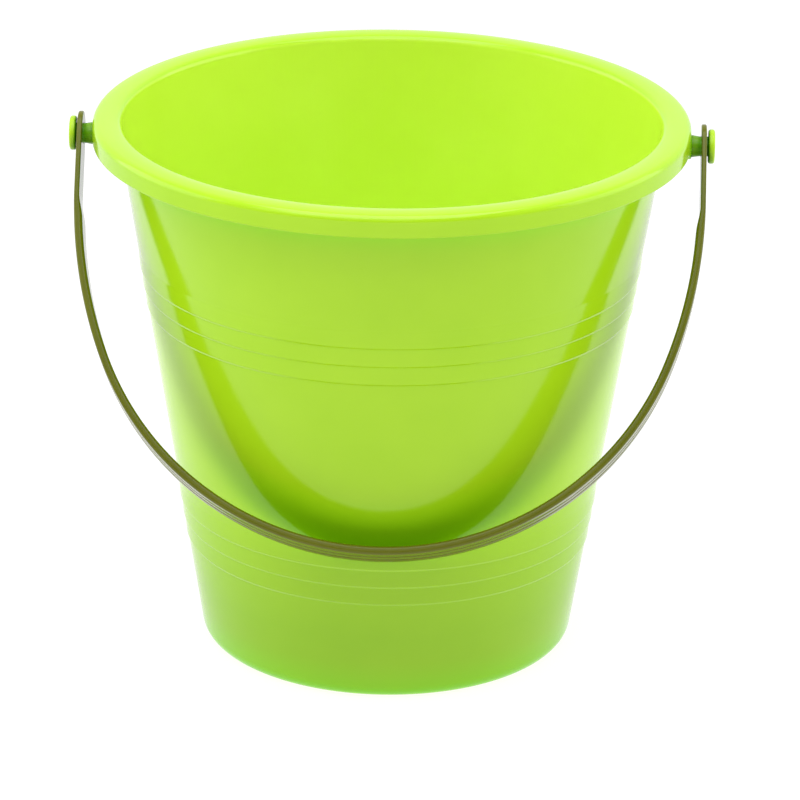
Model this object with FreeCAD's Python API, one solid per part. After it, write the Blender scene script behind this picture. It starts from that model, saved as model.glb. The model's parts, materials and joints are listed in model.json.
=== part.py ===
import FreeCAD, Part
import math
import os

# Sand bucket: a tapered tub with a rolled rim, two pivot studs pressed into
# bosses at the rim, and a strap handle that swings on the studs.
# Millimetres, +Z up. The origin is the centre of the base, on the ground.
# The handle's pivot axis runs along X, and the handle hangs on the -Y side.

Vector = FreeCAD.Vector

# Tub
HEIGHT = 157.4
RIM_RADIUS = 85.0
BASE_RADIUS = 53.4            # the outer cone carried down to the ground
TOP_RADIUS = 78.35            # the outer cone carried up to the full height
WALL = 1.6                    # measured along the radius
FLOOR = 1.8
BASE_CORNER = 4.6             # outer radius between wall and base
INNER_CORNER = 3.4
FOOT_RECESS_RADIUS = 43.5     # the base stands on a ring outside this recess
FOOT_RECESS_DEPTH = 1.0

# Rim: a convex top between two tight corners, with a skirt hanging outside
RIM_TOP_CURVE = 14.0
RIM_CORNER = 2.0
RIM_CENTRE = 80.8             # radius of the highest circle of the rim
RIM_BOTTOM = 150.8            # height of the skirt's lower edge
RIM_SKIN = 1.5

# Moulded rings: each tapers straight out as it goes down, then steps back
RING_PITCH = 5.65
RING_STEP = 0.35
RING_EDGE = 0.6               # height of the step back
RINGS_IN_BAND = 3
UPPER_BAND_BOTTOM = 102.25
LOWER_BAND_BOTTOM = 31.3

# Handle pivots
PIVOT_HEIGHT = 150.4
BOSS_RADIUS = 3.75
BOSS_FACE = 85.1              # distance of the boss's end from the axis
STEM_RADIUS = 2.8
STEM_ROOT_RADIUS = 3.2        # the stem's cone seats on the boss
STEM_CONE_END = 87.6          # the cone ends just short of the handle's eye
SPIGOT_RADIUS = 2.1
SPIGOT_LENGTH = 6.6           # how far the spigot goes into its boss
HEAD_RADIUS = 4.9
HEAD_INNER = 89.8
HEAD_OUTER = 91.7
HEAD_EDGE = 0.7
STEM_CLEARANCE = 0.08         # radial play of the handle's eye on the stem

# Handle: a strap, thinned on its inner face towards the tab round each eye
HANDLE_HALF_SPAN = 89.3       # outer face, at the eyes
HANDLE_REACH = 121.2          # pivot axis to the outer face at the bottom
LEG_LENGTH = 18.0             # straight part below the pivot axis
SHOULDER_ANGLE = math.radians(21.0)
STRAP_THICK = 2.4
STRAP_EDGE = 0.8              # rounding of the strap's long edges
GROOVE_WIDTH = 0.9
GROOVE_DEPTH = 0.35
GROOVE_OFFSET = 1.9           # of each groove's middle from the strap's middle
TAB_RADIUS = 6.3              # also half of the strap's width
TAB_THICK = 1.5
THIN_END = 19.0               # the tab's own thickness ends here below the pivot axis
THICK_START = 26.5            # and the strap's full thickness starts here
HANDLE_LEAN = 34.0            # degrees from hanging straight down

SLOPE = (TOP_RADIUS - BASE_RADIUS) / HEIGHT


def cone_radius(height):
    """Radius of the plain outer cone at a height."""
    return BASE_RADIUS + SLOPE * height


def point(radius, height):
    """A point of the tub's profile, in the XZ plane."""
    return Vector(radius, 0, height)


def line(start, end):
    return Part.LineSegment(start, end).toShape()


def arc(start, middle, end):
    return Part.Arc(start, middle, end).toShape()


def solid_of_revolution(edges):
    face = Part.Face(Part.Wire(edges))
    return face.revolve(Vector(0, 0, 0), Vector(0, 0, 1), 360)


def corner_arc(centre, radius, start_angle, end_angle):
    """An arc of the profile about a centre, with its two end points."""
    ends = []
    for angle in (start_angle, (start_angle + end_angle) / 2, end_angle):
        ends.append(centre + point(radius * math.cos(angle), radius * math.sin(angle)))
    return arc(ends[0], ends[1], ends[2]), ends[0], ends[2]


def rim_arcs(shrink):
    """The rim's inner corner, top and outer corner, shrunk inward by a skin."""
    corner = RIM_CORNER - shrink
    spread = RIM_RADIUS - RIM_CORNER - RIM_CENTRE
    gap = RIM_TOP_CURVE - RIM_CORNER
    top_centre = point(RIM_CENTRE, HEIGHT - RIM_TOP_CURVE)
    lift = math.sqrt(gap ** 2 - spread ** 2)
    tilt = math.asin(spread / gap)
    inner_centre = top_centre + point(-spread, lift)
    outer_centre = top_centre + point(spread, lift)
    inner = corner_arc(inner_centre, corner, math.pi, math.pi / 2 + tilt)
    outer = corner_arc(outer_centre, corner, math.pi / 2 - tilt, 0)
    top = arc(inner[2], point(RIM_CENTRE, HEIGHT - shrink), outer[1])
    return inner, top, outer


def ring_edges(band_bottom):
    """One band of moulded rings, from its top down; returns edges and both ends."""
    edges = []
    band_top = band_bottom + RINGS_IN_BAND * RING_PITCH
    start = point(cone_radius(band_top), band_top)
    first = start
    for number in range(1, RINGS_IN_BAND + 1):
        bottom = band_top - number * RING_PITCH
        crest_height = bottom + RING_EDGE
        crest = point(cone_radius(crest_height) + RING_STEP, crest_height)
        foot = point(cone_radius(bottom), bottom)
        edges.append(line(start, crest))
        edges.append(line(crest, foot))
        start = foot
    return edges, first, start


def tub_profile():
    """Closed half section of the tub, between its axis and its rim."""
    wall_angle = math.atan2(1, SLOPE)
    base_tangent = BASE_CORNER / math.tan((math.pi - wall_angle) / 2)
    base_centre = point(BASE_RADIUS - base_tangent, BASE_CORNER)
    base, wall_foot, base_edge = corner_arc(
        base_centre, BASE_CORNER, wall_angle - math.pi / 2, -math.pi / 2)

    inner_rim, rim_top, outer_rim = rim_arcs(0)
    skirt_foot = point(RIM_RADIUS, RIM_BOTTOM)
    skirt_inside = point(RIM_RADIUS - RIM_SKIN, RIM_BOTTOM)
    under_inner, under_top, under_outer = rim_arcs(RIM_SKIN)
    wall_head_height = under_inner[1].z - 2.0
    wall_head = point(cone_radius(wall_head_height), wall_head_height)
    under_end = point(cone_radius(under_inner[2].z), under_inner[2].z)

    upper, upper_start, upper_end = ring_edges(UPPER_BAND_BOTTOM)
    lower, lower_start, lower_end = ring_edges(LOWER_BAND_BOTTOM)

    floor_top = FOOT_RECESS_DEPTH + FLOOR
    inside_base = BASE_RADIUS - WALL + SLOPE * floor_top
    inner_tangent = INNER_CORNER / math.tan((math.pi - wall_angle) / 2)
    inner_centre = point(inside_base - inner_tangent, floor_top + INNER_CORNER)
    bowl, bowl_wall, bowl_floor = corner_arc(
        inner_centre, INNER_CORNER, wall_angle - math.pi / 2, -math.pi / 2)

    edges = [line(point(0, floor_top), bowl_floor)]
    edges.append(bowl)
    edges.append(line(bowl_wall, inner_rim[1]))
    edges.append(inner_rim[0])
    edges.append(rim_top)
    edges.append(outer_rim[0])
    edges.append(line(outer_rim[2], skirt_foot))
    edges.append(line(skirt_foot, skirt_inside))
    edges.append(line(skirt_inside, under_outer[2]))
    edges.append(under_outer[0])
    edges.append(line(under_outer[1], under_end))
    edges.append(line(under_end, wall_head))
    edges.append(line(wall_head, upper_start))
    edges += upper
    edges.append(line(upper_end, lower_start))
    edges += lower
    edges.append(line(lower_end, wall_foot))
    edges.append(base)
    recess_edge = point(FOOT_RECESS_RADIUS, 0)
    recess_corner = point(FOOT_RECESS_RADIUS - FOOT_RECESS_DEPTH, FOOT_RECESS_DEPTH)
    edges.append(line(base_edge, recess_edge))
    edges.append(line(recess_edge, recess_corner))
    edges.append(line(recess_corner, point(0, FOOT_RECESS_DEPTH)))
    edges.append(line(point(0, FOOT_RECESS_DEPTH), point(0, floor_top)))
    return edges


def x_cylinder(radius, start, end, height=PIVOT_HEIGHT):
    """A cylinder along X, at the pivot height unless another is given."""
    return Part.makeCylinder(radius, end - start, Vector(start, 0, height), Vector(1, 0, 0))


def on_both_sides(shape):
    """The shape and its mirror image across the YZ plane."""
    return shape, shape.mirror(Vector(0, 0, 0), Vector(1, 0, 0))


def inner_radius(height):
    return cone_radius(height) - WALL


def make_bucket_body():
    """The tub, with a round boss under the rim for each stud."""
    body = solid_of_revolution(tub_profile())
    boss_root = inner_radius(PIVOT_HEIGHT) + WALL / 2
    boss = x_cylinder(BOSS_RADIUS, boss_root - BOSS_RADIUS * SLOPE, BOSS_FACE)
    low = PIVOT_HEIGHT - 2 * BOSS_RADIUS
    hollow = Part.makeCone(
        inner_radius(low), inner_radius(HEIGHT), HEIGHT - low, Vector(0, 0, low))
    socket = x_cylinder(SPIGOT_RADIUS, BOSS_FACE - SPIGOT_LENGTH, BOSS_FACE)
    for side in on_both_sides(boss.cut(hollow)):
        body = body.fuse(side)
    for side in on_both_sides(socket):
        body = body.cut(side)
    return body.removeSplitter()


def circles(cylinder):
    """The two circular edges of a cylinder."""
    return [edge for edge in cylinder.Edges if isinstance(edge.Curve, Part.Circle)]


def make_stud():
    """The right-hand stud: spigot, stem and disc head, along +X."""
    spigot = x_cylinder(SPIGOT_RADIUS, BOSS_FACE - SPIGOT_LENGTH, BOSS_FACE)
    stem = x_cylinder(STEM_RADIUS, BOSS_FACE, HEAD_INNER + HEAD_EDGE)
    root = Vector(BOSS_FACE, 0, PIVOT_HEIGHT)
    cone = Part.makeCone(
        STEM_ROOT_RADIUS, STEM_RADIUS, STEM_CONE_END - BOSS_FACE, root, Vector(1, 0, 0))
    head = x_cylinder(HEAD_RADIUS, HEAD_INNER, HEAD_OUTER)
    rounded = head.makeFillet(HEAD_EDGE, circles(head))
    return spigot.fuse([stem, cone, rounded]).removeSplitter()


def handle_radii():
    """Shoulder and bottom radii that make the arch meet its span and reach."""
    turn = SHOULDER_ANGLE
    drop = HANDLE_REACH - LEG_LENGTH
    across = 1 - math.cos(turn)
    bottom_share = (1 - math.sin(turn)) / math.cos(turn)
    shoulder = (drop - HANDLE_HALF_SPAN * bottom_share) / (math.sin(turn) - across * bottom_share)
    bottom = (HANDLE_HALF_SPAN - shoulder * across) / math.cos(turn)
    return shoulder, bottom


def arch_points(inset):
    """Points of the arch's right half, inset from its outer face, pivot at the origin."""
    shoulder, bottom = handle_radii()
    side = HANDLE_HALF_SPAN
    leg_end = Vector(side - inset, 0, -LEG_LENGTH)
    points = [leg_end]
    shoulder_centre = Vector(side - shoulder, 0, -LEG_LENGTH)
    for part in (0.5, 1.0):
        angle = SHOULDER_ANGLE * part
        reach = shoulder - inset
        points.append(shoulder_centre + Vector(reach * math.cos(angle), 0, -reach * math.sin(angle)))
    bottom_centre = Vector(0, 0, bottom - HANDLE_REACH)
    middle = (SHOULDER_ANGLE + math.pi / 2) / 2
    reach = bottom - inset
    points.append(bottom_centre + Vector(reach * math.cos(middle), 0, -reach * math.sin(middle)))
    points.append(bottom_centre + Vector(0, 0, -reach))
    return points


def arch_outline(inset):
    """Edges of one face of the arch from its right leg's end to its left leg's end."""
    right = arch_points(inset)
    left = [Vector(-p.x, 0, p.z) for p in right]
    edges = [arc(right[0], right[1], right[2]), arc(right[2], right[3], right[4])]
    edges += [arc(left[4], left[3], left[2]), arc(left[2], left[1], left[0])]
    return edges, right[0], left[0]


def arch_band(outer_inset, inner_inset, width, offset):
    """A band of the arch between two insets, of a width, offset along Y."""
    outer, outer_right, outer_left = arch_outline(outer_inset)
    inner, inner_right, inner_left = arch_outline(inner_inset)
    edges = outer + inner + [line(outer_right, inner_right), line(outer_left, inner_left)]
    face = Part.Face(Part.Wire(Part.__sortEdges__(edges)))
    face.translate(Vector(0, offset - width / 2, 0))
    return face.extrude(Vector(0, width, 0))


def make_tab():
    """The right-hand end: a thin straight tab, rounded about its eye."""
    inner = HANDLE_HALF_SPAN - TAB_THICK
    disc = x_cylinder(TAB_RADIUS, inner, HANDLE_HALF_SPAN, 0)
    plate = Part.makeBox(TAB_THICK, 2 * TAB_RADIUS, LEG_LENGTH,
                         Vector(inner, -TAB_RADIUS, -LEG_LENGTH))
    return disc.fuse(plate)


def make_thinning():
    """What is cut from the strap's inner face below the right-hand tab."""
    thin = HANDLE_HALF_SPAN - TAB_THICK
    full = HANDLE_HALF_SPAN - STRAP_THICK - 1
    far = full - STRAP_THICK
    corners = [
        Vector(thin, -2 * TAB_RADIUS, 0),
        Vector(thin, -2 * TAB_RADIUS, -THIN_END),
        Vector(full, -2 * TAB_RADIUS, -THICK_START),
        Vector(far, -2 * TAB_RADIUS, -THICK_START),
        Vector(far, -2 * TAB_RADIUS, 0),
        Vector(thin, -2 * TAB_RADIUS, 0),
    ]
    return Part.Face(Part.makePolygon(corners)).extrude(Vector(0, 4 * TAB_RADIUS, 0))


def make_handle():
    """The strap handle, hanging in front and leaning towards the wall."""
    strap = arch_band(0, STRAP_THICK, 2 * TAB_RADIUS, 0)
    strap = strap.makeFillet(STRAP_EDGE, circles(strap))
    for side in (-1, 1):
        groove = arch_band(-1, GROOVE_DEPTH, GROOVE_WIDTH, side * GROOVE_OFFSET)
        strap = strap.cut(groove)
    handle = strap
    for side in on_both_sides(make_thinning()):
        handle = handle.cut(side)
    for side in on_both_sides(make_tab()):
        handle = handle.fuse(side)
    eye = x_cylinder(STEM_RADIUS + STEM_CLEARANCE, -HEAD_OUTER, HEAD_OUTER, 0)
    handle = handle.cut(eye).removeSplitter()
    handle.rotate(Vector(0, 0, 0), Vector(1, 0, 0), -HANDLE_LEAN)
    handle.translate(Vector(0, 0, PIVOT_HEIGHT))
    return handle


def main():
    os.makedirs("parts", exist_ok=True)
    stud_right, stud_left = on_both_sides(make_stud())
    nodes = {
        "bucket_body": make_bucket_body(),
        "stud_right": stud_right,
        "stud_left": stud_left,
        "handle": make_handle(),
    }
    for name, shape in nodes.items():
        shape.exportStep(os.path.join("parts", name + ".step"))


main()
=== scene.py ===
import bpy
import bmesh
import json
import math
from mathutils import Matrix, Vector


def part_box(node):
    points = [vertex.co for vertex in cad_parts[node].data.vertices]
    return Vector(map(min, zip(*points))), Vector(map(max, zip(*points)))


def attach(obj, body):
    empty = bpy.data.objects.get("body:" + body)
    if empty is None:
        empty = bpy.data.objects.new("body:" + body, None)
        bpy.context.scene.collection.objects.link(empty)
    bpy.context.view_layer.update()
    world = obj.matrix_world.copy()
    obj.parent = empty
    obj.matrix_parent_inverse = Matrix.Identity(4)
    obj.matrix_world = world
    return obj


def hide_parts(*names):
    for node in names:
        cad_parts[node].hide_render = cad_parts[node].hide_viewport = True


# Sand bucket: a glossy lime tub with a rolled rim, two pivot studs and an
# olive strap handle. Shape sizes are in millimetres and turned into metres
# when a mesh is made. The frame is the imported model's: +Z up, the origin at
# the middle of the base, and the handle's pivot axis along X.

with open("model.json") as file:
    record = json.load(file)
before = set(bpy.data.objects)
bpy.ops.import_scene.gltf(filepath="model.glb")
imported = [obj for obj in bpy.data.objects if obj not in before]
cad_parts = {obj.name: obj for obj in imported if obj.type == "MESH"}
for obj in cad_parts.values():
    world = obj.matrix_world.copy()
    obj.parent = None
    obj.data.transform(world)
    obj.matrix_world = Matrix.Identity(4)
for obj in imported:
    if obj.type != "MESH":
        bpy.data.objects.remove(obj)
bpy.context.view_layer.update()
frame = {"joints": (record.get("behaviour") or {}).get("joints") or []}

MM = 0.001

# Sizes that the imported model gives
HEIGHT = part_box("bucket_body")[1].z / MM
RIM_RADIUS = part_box("bucket_body")[1].y / MM
HEAD_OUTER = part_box("stud_right")[1].x / MM
SPIGOT_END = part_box("stud_right")[0].x / MM
HANDLE_HALF_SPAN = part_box("handle")[1].x / MM
PIVOT_HEIGHT = frame["joints"][0]["pos_m"][2] / MM

# Tub
BASE_RADIUS = 53.4            # the outer cone carried down to the ground
TOP_RADIUS = 78.35            # the outer cone carried up to the full height
WALL = 1.6
FLOOR = 1.8
BASE_CORNER = 4.6
INNER_CORNER = 3.4
FOOT_RECESS_RADIUS = 43.5
FOOT_RECESS_DEPTH = 1.0
SLOPE = (TOP_RADIUS - BASE_RADIUS) / HEIGHT
TUB_SEGMENTS = 272
SHARP_ANGLE = math.radians(35)

# Rim
RIM_TOP_CURVE = 14.0
RIM_CORNER = 2.0
RIM_CENTRE = 80.8
RIM_SKIRT_HEIGHT = 6.6
RIM_SKIN = 1.5
SKIRT_EDGE_ROUND = 0.45

# Moulded rings
RING_PITCH = 5.65
RING_STEP = 0.35
RING_EDGE = 0.6
RING_CREST_ROUND = 0.55
RING_FOOT_ROUND = 0.3
RING_TOP_ROUND = 4.0
RINGS_IN_BAND = 3
BAND_BOTTOMS = (31.3, 102.25)

# Round gate marks: a raised one under the base, a sunk one in each stud's head
BASE_GATE_RADIUS = 1.6
HEAD_GATE_RADIUS = 1.3
GATE_STEP = 0.25
GATE_EDGE = 0.12

# Boss and stud
BOSS_RADIUS = 3.75
BOSS_FACE = 85.1
BOSS_EDGE_ROUND = 0.35
STEM_RADIUS = 2.8
STEM_ROOT_RADIUS = 3.2
SPIGOT_RADIUS = 2.1
STEM_CONE_END = 87.6
HEAD_RADIUS = 4.9
HEAD_INNER = 89.8
HEAD_ROUND = 0.7
EYE_PLAY = 0.08
EYE_FLARE = 0.3
ROUND_SEGMENTS = 96

# Handle
HANDLE_REACH = 121.2
LEG_LENGTH = 18.0
SHOULDER_ANGLE = math.radians(21.0)
STRAP_THICK = 2.4
STRAP_ROUND = 0.95
GROOVE_WIDTH = 0.9
GROOVE_DEPTH = 0.35
GROOVE_OFFSET = 1.9
TAB_RADIUS = 6.3              # also half of the strap's width
TAB_THICK = 1.5
TAB_ROUND = 0.45
THIN_END = 19.0
THICK_START = 26.5
SECTION_STRIDE = 0.8
HANDLE_LEAN = math.radians(34.0)

# Camera, in millimetres
CAMERA_DISTANCE = 1445.4
CAMERA_AZIMUTH = math.radians(1.66)
CAMERA_ELEVATION = math.radians(21.56)
CAMERA_ROLL = math.radians(0.727)
CAMERA_LENS = 224.1
CAMERA_TARGET = Vector((3.25, 0.1, 70.8))

# Lights and floor, in metres and watts
LIGHT_TARGET = (0, 0, 0.1)
OVERHEAD_PLACE = (-0.02, -0.25, 1.1)
OVERHEAD_SIZE = (1.0, 1.0)
OVERHEAD_POWER = 8.6
FRONT_PLACE = (-0.5, -1.2, 1.3)
FRONT_SIZE = (1.8, 0.9)
FRONT_POWER = 4.2
SIDE_PLACE = (1.2, 0.1, 0.5)  # the right box; the left one mirrors it
SIDE_SIZE = (1.2, 0.9)
SIDE_POWERS = (5.2, 4.8)      # left, right
SURROUND_FRONT = 0.2
SURROUND_BACK = 0.95
FLOOR_HALF_SIZE = 6.0
FLOOR_ALBEDO = 0.22
FLOOR_GLOW = 0.86

# Plastic: noise scales are per metre, and reach and depth are in metres
LIME_CLOUD_SCALE = 30.0
OLIVE_CLOUD_SCALE = 60.0
STUD_CLOUD_SCALE = 90.0
CLOUD_RANGE = (0.3, 0.7)
SMEAR_SCALE = 180.0
SMEAR_RANGE = (0.3, 0.75)
SMEAR_ROUGHER = 1.5
RIPPLE_SCALE = 240.0
RIPPLE_STRENGTH = 0.12
RIPPLE_DEPTH = 0.00012
# Painted shade where surfaces close in: the reach of the occlusion, in metres, and the occlusion
# range it eases over
SHADE_REACH = 0.014
SHADE_RANGE = (0.25, 0.95)

# Painted shade and painted light on the tub: a span of height for the shade on its lower part, and of
# depth inside the middle of the wall for the light on its inside
LOW_SHADE = (0.70, 0.77, 0.55)
LOW_SHADE_SPAN = (20.0, 65.0)
INSIDE_LIGHT_SPAN = (0.3, 0.75)


# ---------------------------------------------------------------- outlines

def arc(centre, radius, start, end, steps):
    """Points of an arc in a plane, between two angles in radians."""
    points = []
    for i in range(steps + 1):
        angle = start + (end - start) * i / steps
        across, up = radius * math.cos(angle), radius * math.sin(angle)
        points.append(Vector((centre[0] + across, centre[1] + up)))
    return points


def fillet(before, corner, after, radius, steps):
    """The arc that rounds the corner between two straight runs."""
    to_before = (before - corner).normalized()
    to_after = (after - corner).normalized()
    half = to_before.angle(to_after) / 2
    centre = corner + (to_before + to_after).normalized() * (radius / math.sin(half))
    first = corner + to_before * (radius / math.tan(half)) - centre
    last = corner + to_after * (radius / math.tan(half)) - centre
    turn = first.angle_signed(last)
    points = []
    for i in range(steps + 1):
        spin = Matrix.Rotation(-turn * i / steps, 2)
        points.append(centre + spin @ first)
    return points


def rounded(corners, steps=8):
    """An outline through (x, y, radius) corners; a radius of 0 keeps the corner."""
    points = []
    for i, (x, y, radius) in enumerate(corners):
        corner = Vector((x, y))
        if radius == 0:
            points.append(corner)
        else:
            before = Vector(corners[i - 1][:2])
            after = Vector(corners[i + 1][:2])
            points += fillet(before, corner, after, radius, steps)
    return points


def supported(points, margin=0.3, stride=5.0):
    """The outline with extra points, so that smooth shading stays true on long runs."""
    result = [points[0]]
    for start, end in zip(points, points[1:]):
        length = (end - start).length
        if length > 3 * margin:
            along = (end - start) / length
            spans = max(1, round((length - 2 * margin) / stride))
            for i in range(spans + 1):
                result.append(start + along * (margin + (length - 2 * margin) * i / spans))
        result.append(end)
    return result


# ------------------------------------------------------------------ meshes

def new_piece(name, mesh_data):
    """A smooth-shaded object from a bmesh in millimetres, with outward faces."""
    bmesh.ops.remove_doubles(mesh_data, verts=mesh_data.verts, dist=1e-4)
    bmesh.ops.dissolve_degenerate(mesh_data, edges=mesh_data.edges, dist=1e-5)
    bmesh.ops.recalc_face_normals(mesh_data, faces=mesh_data.faces)
    mesh = bpy.data.meshes.new(name)
    mesh_data.to_mesh(mesh)
    mesh_data.free()
    mesh.shade_smooth()
    mesh.set_sharp_from_angle(angle=SHARP_ANGLE)
    piece = bpy.data.objects.new(name, mesh)
    bpy.context.scene.collection.objects.link(piece)
    return piece


def lathe(outline, segments):
    """A bmesh of an outline of (radius, height) points turned about Z."""
    shape = bmesh.new()
    rings = []
    for radius, height in outline:
        if radius < 1e-6:
            rings.append([shape.verts.new((0, 0, height))])
            continue
        ring = []
        for i in range(segments):
            angle = 2 * math.pi * i / segments
            ring.append(shape.verts.new((radius * math.cos(angle), radius * math.sin(angle), height)))
        rings.append(ring)
    for lower, upper in zip(rings, rings[1:]):
        for i in range(segments):
            j = (i + 1) % segments
            corners = [lower[i % len(lower)], lower[j % len(lower)],
                       upper[j % len(upper)], upper[i % len(upper)]]
            distinct = list(dict.fromkeys(corners))
            if len(distinct) > 2:
                shape.faces.new(distinct)
    return shape


def along_x(shape, side, height=0.0):
    """Turns a lathe's axis from Z to the right (side 1) or left (side -1), at a height."""
    turn = Matrix.Rotation(side * math.pi / 2, 4, "Y")
    bmesh.ops.transform(shape, matrix=Matrix.Translation((0, 0, height)) @ turn, verts=shape.verts)
    return shape


def combine(piece, tool, operation):
    """Joins a tool to a piece, or cuts it away, and removes the tool."""
    change = piece.modifiers.new(operation.lower(), "BOOLEAN")
    change.operation = operation
    change.solver = "EXACT"
    change.object = tool
    graph = bpy.context.evaluated_depsgraph_get()
    mesh = bpy.data.meshes.new_from_object(piece.evaluated_get(graph))
    piece.modifiers.clear()
    piece.data = mesh
    bpy.data.objects.remove(tool)


def paint(piece, material):
    """Turns a finished piece into metres and gives it its material."""
    piece.data.transform(Matrix.Scale(MM, 4))
    piece.data.shade_smooth()
    piece.data.set_sharp_from_angle(angle=SHARP_ANGLE)
    piece.data.materials.clear()
    piece.data.materials.append(material)


# --------------------------------------------------------------------- tub

def cone_radius(height):
    """Radius of the outer wall's cone, without the rings."""
    return BASE_RADIUS + SLOPE * height


def inner_radius(height):
    """Radius of the inner wall."""
    return cone_radius(height) - WALL


def rim_centres():
    """Centres of the rim's inner corner, top and outer corner, and the corners' tilt."""
    spread = RIM_RADIUS - RIM_CORNER - RIM_CENTRE
    gap = RIM_TOP_CURVE - RIM_CORNER
    top = Vector((RIM_CENTRE, HEIGHT - RIM_TOP_CURVE))
    lift = math.sqrt(gap ** 2 - spread ** 2)
    return top + Vector((-spread, lift)), top, top + Vector((spread, lift)), math.asin(spread / gap)


def rim_outline(steps=10):
    """The rim from its outer corner over the top to the inner wall."""
    inner, top, outer, tilt = rim_centres()
    right, left = math.pi / 2 - tilt, math.pi / 2 + tilt
    points = arc(outer, RIM_CORNER, 0, right, steps)
    points += arc(top, RIM_TOP_CURVE, right, left, steps)[1:-1]
    points += arc(inner, RIM_CORNER, left, math.pi - math.atan(SLOPE), steps)
    return points


def band_corners(bottom):
    """Corners of one band of rings, from its lowest step up."""
    corners = []
    for number in range(RINGS_IN_BAND):
        foot = bottom + number * RING_PITCH
        crest = foot + RING_EDGE
        corners.append((cone_radius(foot), foot, RING_FOOT_ROUND))
        corners.append((cone_radius(crest) + RING_STEP, crest, RING_CREST_ROUND))
    top = bottom + RINGS_IN_BAND * RING_PITCH
    corners.append((cone_radius(top), top, RING_TOP_ROUND))
    return corners


def tub_outline():
    """Closed half section of the tub, from the middle of its underside round to its floor."""
    recess = FOOT_RECESS_DEPTH
    outer_centre, tilt = rim_centres()[2:]
    skin_corner = RIM_CORNER - RIM_SKIN
    under_outer = arc(outer_centre, skin_corner, math.pi / 2 - tilt, 0, 6)
    under_top = under_outer[0].y
    skirt_foot = HEIGHT - RIM_SKIRT_HEIGHT
    outer_corners = [
        (0, recess - GATE_STEP, 0),
        (BASE_GATE_RADIUS, recess - GATE_STEP, GATE_EDGE),
        (BASE_GATE_RADIUS + 0.1, recess, 0.1),
        (FOOT_RECESS_RADIUS - recess, recess, 0.5),
        (FOOT_RECESS_RADIUS, 0, 0.4),
        (BASE_RADIUS, 0, BASE_CORNER),
    ]
    for bottom in BAND_BOTTOMS:
        outer_corners += band_corners(bottom)
    outer_corners.append((cone_radius(under_top), under_top, 0.8))
    outer_corners.append((under_outer[0].x, under_top, 0))
    outline = rounded(outer_corners)
    outline += under_outer[1:]
    skirt_corners = [
        (RIM_RADIUS - RIM_SKIN, outer_centre.y, 0),
        (RIM_RADIUS - RIM_SKIN, skirt_foot, SKIRT_EDGE_ROUND),
        (RIM_RADIUS, skirt_foot, SKIRT_EDGE_ROUND),
        (RIM_RADIUS, outer_centre.y, 0),
    ]
    outline += rounded(skirt_corners)[1:-1]
    outline += rim_outline()
    floor_top = FOOT_RECESS_DEPTH + FLOOR
    lip = outline[-1]
    inside = [
        (lip.x, lip.y, 0),
        (inner_radius(floor_top), floor_top, INNER_CORNER),
        (0, floor_top, 0),
    ]
    outline += rounded(inside)[1:]
    return supported(outline)


def make_boss(side):
    """A boss from the middle of the tub's wall to its face, shaped to the wall at its root."""
    root = inner_radius(PIVOT_HEIGHT) - WALL
    corners = [
        (0, root, 0),
        (BOSS_RADIUS, root, 0),
        (BOSS_RADIUS, BOSS_FACE, BOSS_EDGE_ROUND),
        (0, BOSS_FACE, 0),
    ]
    turned = lathe(supported(rounded(corners)), ROUND_SEGMENTS)
    boss = new_piece("boss", along_x(turned, side, PIVOT_HEIGHT))
    low = PIVOT_HEIGHT - 2 * BOSS_RADIUS
    hollow = [(0, low), (inner_radius(low) + WALL / 2, low),
              (inner_radius(HEIGHT) + WALL / 2, HEIGHT), (0, HEIGHT)]
    combine(boss, new_piece("hollow", lathe(hollow, TUB_SEGMENTS)), "DIFFERENCE")
    return boss


def make_tub(material):
    """The turned tub, with a boss and a stud's socket on each side."""
    tub = new_piece("tub", lathe(tub_outline(), TUB_SEGMENTS))
    for side in (1, -1):
        combine(tub, make_boss(side), "UNION")
        hole = [Vector((0, SPIGOT_END)), Vector((SPIGOT_RADIUS, SPIGOT_END)),
                Vector((SPIGOT_RADIUS, BOSS_FACE + 1)), Vector((0, BOSS_FACE + 1))]
        socket = new_piece("socket", along_x(lathe(hole, ROUND_SEGMENTS), side, PIVOT_HEIGHT))
        combine(tub, socket, "DIFFERENCE")
    paint(tub, material)
    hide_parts("bucket_body")
    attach(tub, "bucket")


# ------------------------------------------------------------------- studs

def stud_outline():
    """Half section of a stud: spigot, stem cone, stem and rounded head with a gate mark."""
    gate_floor = HEAD_OUTER - GATE_STEP
    corners = [
        (0, SPIGOT_END, 0),
        (SPIGOT_RADIUS, SPIGOT_END, 0.4),
        (SPIGOT_RADIUS, BOSS_FACE, 0),
        (STEM_ROOT_RADIUS, BOSS_FACE, 0.1),
        (STEM_RADIUS, STEM_CONE_END, 1.0),
        (STEM_RADIUS, HEAD_INNER, 0.25),
        (HEAD_RADIUS, HEAD_INNER, HEAD_ROUND),
        (HEAD_RADIUS, HEAD_OUTER, HEAD_ROUND),
        (HEAD_GATE_RADIUS, HEAD_OUTER, GATE_EDGE),
        (HEAD_GATE_RADIUS - 0.3, gate_floor, GATE_EDGE),
        (0, gate_floor, 0),
    ]
    return supported(rounded(corners))


def make_stud(name, node_name, side, material):
    """A pivot stud on the right (side 1) or the left (side -1)."""
    stud = new_piece(name, along_x(lathe(stud_outline(), ROUND_SEGMENTS), side, PIVOT_HEIGHT))
    paint(stud, material)
    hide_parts(node_name)
    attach(stud, "bucket")


# ------------------------------------------------------------------ handle

def handle_radii():
    """Shoulder and bottom radii that make the arch meet its span and reach."""
    turn = SHOULDER_ANGLE
    drop = HANDLE_REACH - LEG_LENGTH
    across = 1 - math.cos(turn)
    bottom_share = (1 - math.sin(turn)) / math.cos(turn)
    shoulder = (drop - HANDLE_HALF_SPAN * bottom_share) / (math.sin(turn) - across * bottom_share)
    bottom = (HANDLE_HALF_SPAN - shoulder * across) / math.cos(turn)
    return shoulder, bottom


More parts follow.
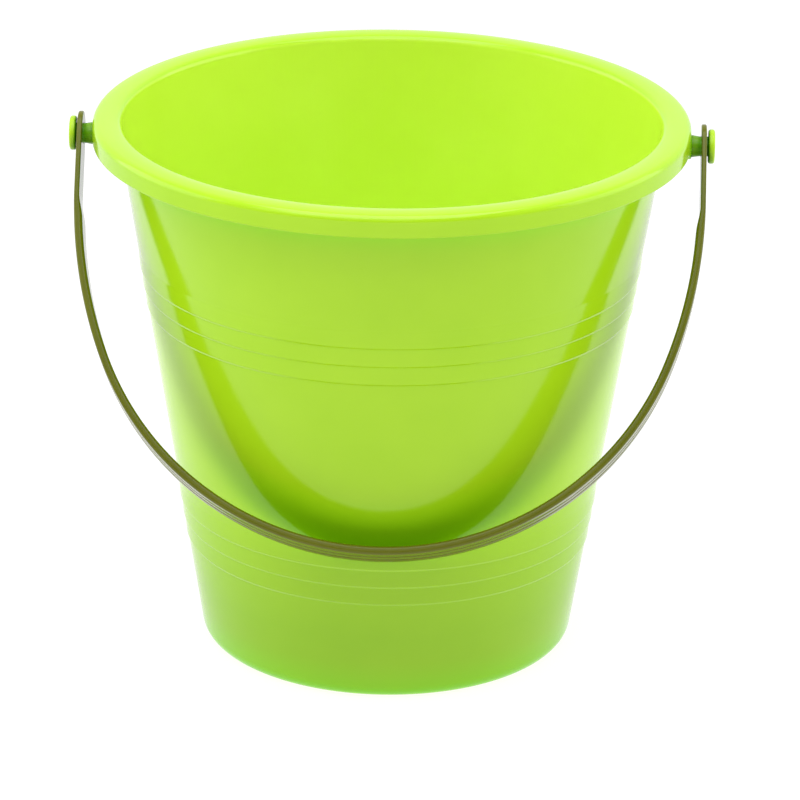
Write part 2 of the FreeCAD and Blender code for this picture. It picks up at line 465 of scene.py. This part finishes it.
SHOULDER_RADIUS, BOTTOM_RADIUS = handle_radii()
SHOULDER_END = LEG_LENGTH + SHOULDER_RADIUS * SHOULDER_ANGLE
HALF_LENGTH = SHOULDER_END + BOTTOM_RADIUS * (math.pi / 2 - SHOULDER_ANGLE)


def arch_place(distance):
    """Outer-face point and outward direction, at a distance down from the right pivot."""
    if distance <= LEG_LENGTH:
        return Vector((HANDLE_HALF_SPAN, 0, -distance)), Vector((1, 0, 0))
    if distance <= SHOULDER_END:
        angle = (distance - LEG_LENGTH) / SHOULDER_RADIUS
        centre = Vector((HANDLE_HALF_SPAN - SHOULDER_RADIUS, 0, -LEG_LENGTH))
        radius = SHOULDER_RADIUS
    else:
        angle = SHOULDER_ANGLE + (distance - SHOULDER_END) / BOTTOM_RADIUS
        centre = Vector((0, 0, BOTTOM_RADIUS - HANDLE_REACH))
        radius = BOTTOM_RADIUS
    outward = Vector((math.cos(angle), 0, -math.sin(angle)))
    return centre + outward * radius, outward


def smooth_step(value, start, end):
    """A share that eases from 0 at the start to 1 at the end."""
    share = min(1.0, max(0.0, (value - start) / (end - start)))
    return share * share * (3 - 2 * share)


def half_width(distance):
    """Half of the strap's width; above the pivot it follows the round eye."""
    if distance < 0:
        return math.sqrt(max(0.0, TAB_RADIUS ** 2 - distance ** 2))
    return TAB_RADIUS


def from_tab_to_strap(distance, at_tab, at_strap):
    """A size that goes from the tab's to the strap's between THIN_END and THICK_START."""
    return at_tab + (at_strap - at_tab) * smooth_step(distance, THIN_END, THICK_START)


def edge_drop(inset, radius):
    """How far a rounded edge falls below its face, at a distance in from the side."""
    if inset >= radius:
        return 0.0
    return radius - math.sqrt(max(0.0, radius ** 2 - (radius - inset) ** 2))


def groove_drop(across, distance):
    """Depth of the outer face's lengthwise grooves."""
    off = abs(abs(across) - GROOVE_OFFSET) / (GROOVE_WIDTH / 2)
    if off >= 1:
        return 0.0
    return from_tab_to_strap(distance, 0.0, GROOVE_DEPTH) * (1 + math.cos(math.pi * off)) / 2


def across_shares():
    """Places across half of the strap, as shares of its half width, dense at edge and groove."""
    insets = (0.0, 0.02, 0.06, 0.12, 0.2, 0.3, 0.42, 0.55, 0.7, 0.85, 1.0, 1.6, 2.4)
    shares = [1 - inset / TAB_RADIUS for inset in insets]
    steps = 8
    for i in range(steps + 1):
        place = GROOVE_OFFSET + GROOVE_WIDTH / 2 - GROOVE_WIDTH * i / steps
        shares.append(place / TAB_RADIUS)
    shares.append((GROOVE_OFFSET - GROOVE_WIDTH) / TAB_RADIUS)
    return shares


def section(distance):
    """One closed section of the strap: points of the outer face, then of the inner face."""
    place, outward = arch_place(distance)
    half = half_width(distance)
    thick = from_tab_to_strap(distance, TAB_THICK, STRAP_THICK)
    edge_round = from_tab_to_strap(distance, TAB_ROUND, STRAP_ROUND)
    shares = across_shares()
    shares = shares + [0.0] + [-share for share in reversed(shares)]
    outer, inner = [], []
    for share in shares:
        across = half * share
        if distance < 0:
            inset = TAB_RADIUS - math.hypot(across, distance)
        else:
            inset = half - abs(across)
        drop = edge_drop(inset, edge_round)
        front = drop + groove_drop(across, distance)
        outer.append(place - outward * front + Vector((0, across, 0)))
        inner.append(place - outward * (thick - drop) + Vector((0, across, 0)))
    return outer + list(reversed(inner))


def stations():
    """Distances of the sections from the right pivot, dense at the eye's top."""
    top = [0, 0.01, 0.04, 0.1, 0.18, 0.28, 0.4, 0.55, 0.75, 1.0, 1.4, 1.9, 2.5, 3.2, 4.0, 4.8, 5.6]
    places = [step - TAB_RADIUS for step in top]
    count = round(HALF_LENGTH / SECTION_STRIDE)
    places += [HALF_LENGTH * i / count for i in range(count + 1)]
    return places


def make_handle(material):
    """The strap: sections swept down the right half, mirrored, with an eye cut at each end."""
    right = [section(distance) for distance in stations()]
    left = [[Vector((-p.x, p.y, p.z)) for p in points] for points in reversed(right[:-1])]
    shape = bmesh.new()
    loops = [[shape.verts.new(p) for p in points] for points in right + left]
    for first, second in zip(loops, loops[1:]):
        for i in range(len(first)):
            j = (i + 1) % len(first)
            shape.faces.new((first[i], first[j], second[j], second[i]))
    handle = new_piece("strap_handle", shape)
    eye = STEM_RADIUS + EYE_PLAY
    mouth = eye + EYE_FLARE
    inner_face, outer_face = HANDLE_HALF_SPAN - TAB_THICK, HANDLE_HALF_SPAN
    corners = [
        (0, inner_face - 2, 0),
        (mouth, inner_face - 2, 0),
        (mouth, inner_face, 0),
        (eye, inner_face + EYE_FLARE, EYE_FLARE),
        (eye, outer_face - EYE_FLARE, EYE_FLARE),
        (mouth, outer_face, 0),
        (mouth, outer_face + 2, 0),
        (0, outer_face + 2, 0),
    ]
    for side in (1, -1):
        cutter = new_piece("eye", along_x(lathe(rounded(corners, 4), ROUND_SEGMENTS), side))
        combine(handle, cutter, "DIFFERENCE")
    lean = Matrix.Translation((0, 0, PIVOT_HEIGHT)) @ Matrix.Rotation(-HANDLE_LEAN, 4, "X")
    handle.data.transform(lean)
    paint(handle, material)
    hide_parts("handle")
    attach(handle, "bail")


# --------------------------------------------------------------- materials

def node(tree, kind, **inputs):
    """A shader node with some inputs set; an underscore in a name stands for a space."""
    made = tree.nodes.new(kind)
    for name, value in inputs.items():
        made.inputs[name.replace("_", " ")].default_value = value
    return made


def clouded(tree, place, base, pale, scale):
    """A base colour that drifts faintly towards a paler one; returns the colour output."""
    cloud = node(tree, "ShaderNodeTexNoise", Scale=scale, Detail=3.0, Roughness=0.55)
    tree.links.new(place.outputs["Object"], cloud.inputs["Vector"])
    tint = tree.nodes.new("ShaderNodeValToRGB")
    for stop, position, colour in zip(tint.color_ramp.elements, CLOUD_RANGE, (base, pale)):
        stop.position = position
        stop.color = colour
    tree.links.new(cloud.outputs["Fac"], tint.inputs["Fac"])
    return tint.outputs["Color"]


def occlusion_shaded(tree, colour, shade_colour, reach):
    """The colour with painted shade: it turns to a shade colour where other surfaces close in on a
    place, found by ambient occlusion.
    """
    shade = node(tree, "ShaderNodeAmbientOcclusion", Distance=reach)
    open_share = node(tree, "ShaderNodeMapRange", From_Min=SHADE_RANGE[0], From_Max=SHADE_RANGE[1])
    tree.links.new(shade.outputs["AO"], open_share.inputs["Value"])
    blend = tree.nodes.new("ShaderNodeMix")
    blend.data_type = "RGBA"
    blend.inputs[6].default_value = shade_colour
    tree.links.new(open_share.outputs["Result"], blend.inputs["Factor"])
    tree.links.new(colour, blend.inputs[7])
    return blend.outputs[2]


def plastic(name, base, pale, shade_colour, roughness, cloud_scale, gloss_level):
    """Moulded plastic: faint clouding of the colour, painted shade where surfaces close in, uneven
    gloss and a slight ripple.
    """
    material = bpy.data.materials.new(name)
    material.use_nodes = True
    tree = material.node_tree
    shader = tree.nodes["Principled BSDF"]
    shader.inputs["IOR"].default_value = 1.5
    shader.inputs["Specular IOR Level"].default_value = gloss_level
    place = tree.nodes.new("ShaderNodeTexCoord")
    colour = clouded(tree, place, base, pale, cloud_scale)
    colour = occlusion_shaded(tree, colour, shade_colour, SHADE_REACH)
    tree.links.new(colour, shader.inputs["Base Color"])

    smear = node(tree, "ShaderNodeTexNoise", Scale=SMEAR_SCALE, Detail=4.0, Roughness=0.6)
    tree.links.new(place.outputs["Object"], smear.inputs["Vector"])
    gloss = node(tree, "ShaderNodeMapRange", From_Min=SMEAR_RANGE[0], From_Max=SMEAR_RANGE[1],
                 To_Min=roughness, To_Max=roughness * SMEAR_ROUGHER)
    tree.links.new(smear.outputs["Fac"], gloss.inputs["Value"])
    tree.links.new(gloss.outputs["Result"], shader.inputs["Roughness"])

    ripple = node(tree, "ShaderNodeTexNoise", Scale=RIPPLE_SCALE, Detail=2.0, Roughness=0.45)
    tree.links.new(place.outputs["Object"], ripple.inputs["Vector"])
    bump = node(tree, "ShaderNodeBump", Strength=RIPPLE_STRENGTH, Distance=RIPPLE_DEPTH)
    tree.links.new(ripple.outputs["Fac"], bump.inputs["Height"])
    tree.links.new(bump.outputs["Normal"], shader.inputs["Normal"])
    return material


def paint_low_shade(material):
    """Paints shade on the lower part of the tub: the colour is darkened a little towards the bottom.
    """
    tree = material.node_tree
    shader = tree.nodes["Principled BSDF"]
    place = tree.nodes.new("ShaderNodeTexCoord")
    split = tree.nodes.new("ShaderNodeSeparateXYZ")
    tree.links.new(place.outputs["Object"], split.inputs["Vector"])
    share = node(tree, "ShaderNodeMapRange", From_Min=LOW_SHADE_SPAN[1] * MM,
                 From_Max=LOW_SHADE_SPAN[0] * MM)
    tree.links.new(split.outputs["Z"], share.inputs["Value"])
    blend = tree.nodes.new("ShaderNodeMix")
    blend.data_type = "RGBA"
    blend.blend_type = "MULTIPLY"
    blend.inputs[7].default_value = (*LOW_SHADE, 1)
    tree.links.new(share.outputs["Result"], blend.inputs["Factor"])
    tree.links.new(shader.inputs["Base Color"].links[0].from_socket, blend.inputs[6])
    tree.links.new(blend.outputs[2], shader.inputs["Base Color"])


def paint_inside_light(material, base, pale):
    """Paints light on the tub's inside: a paler colour that stands in for the light that passes
    through its thin wall.
    """
    tree = material.node_tree
    shader = tree.nodes["Principled BSDF"]
    place = tree.nodes.new("ShaderNodeTexCoord")
    split = tree.nodes.new("ShaderNodeSeparateXYZ")
    tree.links.new(place.outputs["Object"], split.inputs["Vector"])
    flat = node(tree, "ShaderNodeCombineXYZ")
    tree.links.new(split.outputs["X"], flat.inputs["X"])
    tree.links.new(split.outputs["Y"], flat.inputs["Y"])
    radius = tree.nodes.new("ShaderNodeVectorMath")
    radius.operation = "LENGTH"
    tree.links.new(flat.outputs["Vector"], radius.inputs[0])
    middle = tree.nodes.new("ShaderNodeMath")
    middle.operation = "MULTIPLY_ADD"
    middle.inputs[1].default_value = SLOPE
    middle.inputs[2].default_value = (BASE_RADIUS - WALL / 2) * MM
    tree.links.new(split.outputs["Z"], middle.inputs[0])
    depth = tree.nodes.new("ShaderNodeMath")
    depth.operation = "SUBTRACT"
    tree.links.new(middle.outputs["Value"], depth.inputs[0])
    tree.links.new(radius.outputs["Value"], depth.inputs[1])
    share = node(tree, "ShaderNodeMapRange", From_Min=INSIDE_LIGHT_SPAN[0] * MM,
                 From_Max=INSIDE_LIGHT_SPAN[1] * MM)
    tree.links.new(depth.outputs["Value"], share.inputs["Value"])
    blend = tree.nodes.new("ShaderNodeMix")
    blend.data_type = "RGBA"
    tree.links.new(share.outputs["Result"], blend.inputs["Factor"])
    tree.links.new(shader.inputs["Base Color"].links[0].from_socket, blend.inputs[6])
    tree.links.new(clouded(tree, place, base, pale, LIME_CLOUD_SCALE), blend.inputs[7])
    tree.links.new(blend.outputs[2], shader.inputs["Base Color"])


# ------------------------------------------------------------------- stage

def make_floor():
    """A plain pale floor, wide enough to fill every view."""
    half = FLOOR_HALF_SIZE
    shape = bmesh.new()
    corners = [(-half, -half), (half, -half), (half, half), (-half, half)]
    shape.faces.new([shape.verts.new((x, y, 0)) for x, y in corners])
    mesh = bpy.data.meshes.new("floor")
    shape.to_mesh(mesh)
    shape.free()
    floor = bpy.data.objects.new("floor", mesh)
    bpy.context.scene.collection.objects.link(floor)
    material = bpy.data.materials.new("floor_white")
    material.use_nodes = True
    shader = material.node_tree.nodes["Principled BSDF"]
    shader.inputs["Base Color"].default_value = (FLOOR_ALBEDO, FLOOR_ALBEDO, FLOOR_ALBEDO, 1)
    shader.inputs["Roughness"].default_value = 0.9
    shader.inputs["Specular IOR Level"].default_value = 0.0
    shader.inputs["Emission Color"].default_value = (1, 1, 1, 1)
    shader.inputs["Emission Strength"].default_value = FLOOR_GLOW
    mesh.materials.append(material)


def soft_light(name, place, size, power):
    """A rectangular soft light, aimed at the bucket."""
    data = bpy.data.lights.new(name, "AREA")
    data.shape = "RECTANGLE"
    data.size, data.size_y = size
    data.energy = power
    light = bpy.data.objects.new(name, data)
    bpy.context.scene.collection.objects.link(light)
    light.location = place
    light.rotation_mode = "QUATERNION"
    aim = Vector(LIGHT_TARGET) - Vector(place)
    light.rotation_quaternion = aim.to_track_quat("-Z", "Y")
    light.visible_camera = False


def make_light():
    """A pale surround, brighter behind the bucket, and boxes above, in front and beside it."""
    world = bpy.data.worlds.new("studio")
    bpy.context.scene.world = world
    world.use_nodes = True
    tree = world.node_tree
    place = tree.nodes.new("ShaderNodeTexCoord")
    split = tree.nodes.new("ShaderNodeSeparateXYZ")
    tree.links.new(place.outputs["Generated"], split.inputs["Vector"])
    level = node(tree, "ShaderNodeMapRange", From_Min=-1.0, From_Max=0.6,
                 To_Min=SURROUND_FRONT, To_Max=SURROUND_BACK)
    tree.links.new(split.outputs["Y"], level.inputs["Value"])
    background = tree.nodes["Background"]
    background.inputs["Color"].default_value = (1, 1, 1, 1)
    tree.links.new(level.outputs["Result"], background.inputs["Strength"])
    soft_light("overhead", OVERHEAD_PLACE, OVERHEAD_SIZE, OVERHEAD_POWER)
    soft_light("front_box", FRONT_PLACE, FRONT_SIZE, FRONT_POWER)
    for side, power in zip((-1, 1), SIDE_POWERS):
        soft_light("side_box", (side * SIDE_PLACE[0], *SIDE_PLACE[1:]), SIDE_SIZE, power)


def make_camera():
    """The camera, turned so that the tub's axis leans slightly to the right."""
    data = bpy.data.cameras.new("camera")
    data.sensor_width = 36.0
    data.lens = CAMERA_LENS
    data.clip_start = 0.05
    camera = bpy.data.objects.new("camera", data)
    bpy.context.scene.collection.objects.link(camera)
    back = Vector((
        math.sin(CAMERA_AZIMUTH) * math.cos(CAMERA_ELEVATION),
        -math.cos(CAMERA_AZIMUTH) * math.cos(CAMERA_ELEVATION),
        math.sin(CAMERA_ELEVATION),
    ))
    camera.location = (CAMERA_TARGET + back * CAMERA_DISTANCE) * MM
    look = (-back).to_track_quat("-Z", "Y").to_matrix()
    camera.rotation_euler = (look @ Matrix.Rotation(CAMERA_ROLL, 3, "Z")).to_euler()
    bpy.context.scene.camera = camera


# Each plastic's third colour is painted shade for places where surfaces close in; the studs' dark one
# paints the shade on their stems
lime = plastic("lime_plastic", base=(0.40, 0.71, 0.008, 1), pale=(0.43, 0.74, 0.012, 1),
               shade_colour=(0.33, 0.90, 0.002, 1), roughness=0.10,
               cloud_scale=LIME_CLOUD_SCALE, gloss_level=0.42)
# Painted shade on the lower part of the tub, then painted light on its inside
paint_low_shade(lime)
paint_inside_light(lime, base=(0.64, 0.90, 0.058, 1), pale=(0.67, 0.92, 0.073, 1))
stud_lime = plastic("stud_plastic", base=(0.42, 0.67, 0.015, 1), pale=(0.45, 0.70, 0.020, 1),
                    shade_colour=(0.06, 0.28, 0.001, 1), roughness=0.20,
                    cloud_scale=STUD_CLOUD_SCALE, gloss_level=0.28)
olive = plastic("olive_plastic", base=(0.112, 0.122, 0.003, 1), pale=(0.130, 0.142, 0.004, 1),
                shade_colour=(0.05, 0.06, 0.001, 1), roughness=0.12,
                cloud_scale=OLIVE_CLOUD_SCALE, gloss_level=0.25)

make_tub(lime)
make_stud("right_stud", "stud_right", 1, stud_lime)
make_stud("left_stud", "stud_left", -1, stud_lime)
make_handle(olive)
make_floor()
make_light()
make_camera()
bpy.context.scene.view_settings.view_transform = "Standard"
